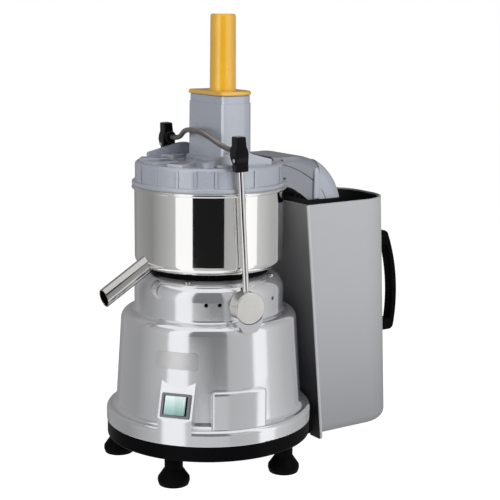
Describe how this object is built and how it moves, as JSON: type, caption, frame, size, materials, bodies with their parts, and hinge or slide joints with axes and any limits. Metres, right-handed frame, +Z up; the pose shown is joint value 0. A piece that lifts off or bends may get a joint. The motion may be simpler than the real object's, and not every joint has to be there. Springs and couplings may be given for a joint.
{
  "type": "centrifugal juicer",
  "caption": "Bar juicer: cast motor base on feet, steel bowl with slanted spout, ribbed lid with feed tube and pusher, swing clamp, pulp chute and lift-away pulp bin.",
  "frame": {"origin": "on the motor axis at the height of the surface the feet stand on", "axes": "+Z up, +X towards the pulp chute and bin, -X towards the juice spout, clamp hinge along Y"},
  "size_m": [0.3997, 0.23, 0.5],
  "materials": {
    "cast_silver": "silver metallic paint",
    "black_plastic": "gloss black",
    "black_rubber": "matt black",
    "steel": "bright",
    "polished_steel": "mirror polished",
    "aluminium": "satin",
    "grey_plastic": "satin blue-grey",
    "yellow_plastic": "satin yellow-orange",
    "bin_grey": "fine texture",
    "dark_grey_plastic": "satin",
    "switch_lens": "translucent pale green",
    "iron": "laminated"
  },
  "bodies": {
    "base": {"base_casting": "cast_silver", "gasket_screws": "steel", "name_plate": "aluminium", "base_pan": "black_plastic", "feet": "black_rubber", "foot_screws": "steel", "cord_gland": "black_plastic", "switch_housing": "dark_grey_plastic", "motor_stator": "iron", "motor_top_shield": "aluminium", "motor_bottom_shield": "aluminium", "top_bearing": "steel", "bottom_bearing": "steel", "motor_bolts": "steel", "capacitor": "dark_grey_plastic", "shaft_seal": "black_rubber", "bowl_gasket": "black_rubber", "juice_bowl": "polished_steel", "juice_spout": "polished_steel", "lid": "grey_plastic", "lid_seal": "black_rubber", "feed_tube": "grey_plastic", "chute": "grey_plastic", "chute_hood": "grey_plastic", "clamp_pivot_pins": "steel", "bin_shelf": "steel", "bin_shelf_screws": "steel"},
    "bail": {"clamp_bar": "steel", "clamp_disc_front": "aluminium", "clamp_rod_front": "polished_steel", "clamp_knob_front": "black_plastic", "clamp_disc_rear": "aluminium", "clamp_rod_rear": "polished_steel", "clamp_knob_rear": "black_plastic", "knob_bolts": "steel", "rod_pins": "steel"},
    "pusher": {"pusher_handle": "yellow_plastic", "pusher_block": "yellow_plastic"},
    "rotor": {"motor_shaft": "steel", "rotor_core": "iron", "cooling_fan": "black_plastic", "drive_hub": "aluminium", "filter_basket": "steel", "grater_disc": "steel", "basket_nut": "black_plastic"},
    "rocker": {"switch_rocker": "switch_lens"},
    "bin": {"bin_shell": "bin_grey", "bin_liner": "black_plastic", "bin_back_panel": "black_plastic", "bin_handle": "black_plastic", "handle_screws": "steel"}
  },
  "joints": [
    {"name": "bail_swing", "type": "hinge", "parent": "base", "child": "bail", "pos_m": [0, 0, 0.196], "axis": [-0.0958, -0.9954, 0], "range_deg": [0, 95]},
    {"name": "pusher_lift", "type": "slide", "parent": "base", "child": "pusher", "axis": [0, 0, 1], "range_m": [0, 0.15]},
    {"name": "basket_spin", "type": "hinge", "parent": "base", "child": "rotor", "pos_m": [0, 0, 0.2], "axis": [0, 0, 1], "continuous": true},
    {"name": "switch_rock", "type": "hinge", "parent": "base", "child": "rocker", "pos_m": [-0.08174, -0.06859, 0.09329], "axis": [0.2708, 0.2272, 0.9354], "range_deg": [0, 14]},
    {"name": "bin_pull", "type": "slide", "parent": "base", "child": "bin", "axis": [1, 0, 0], "range_m": [0, 0.18]}
  ]
}
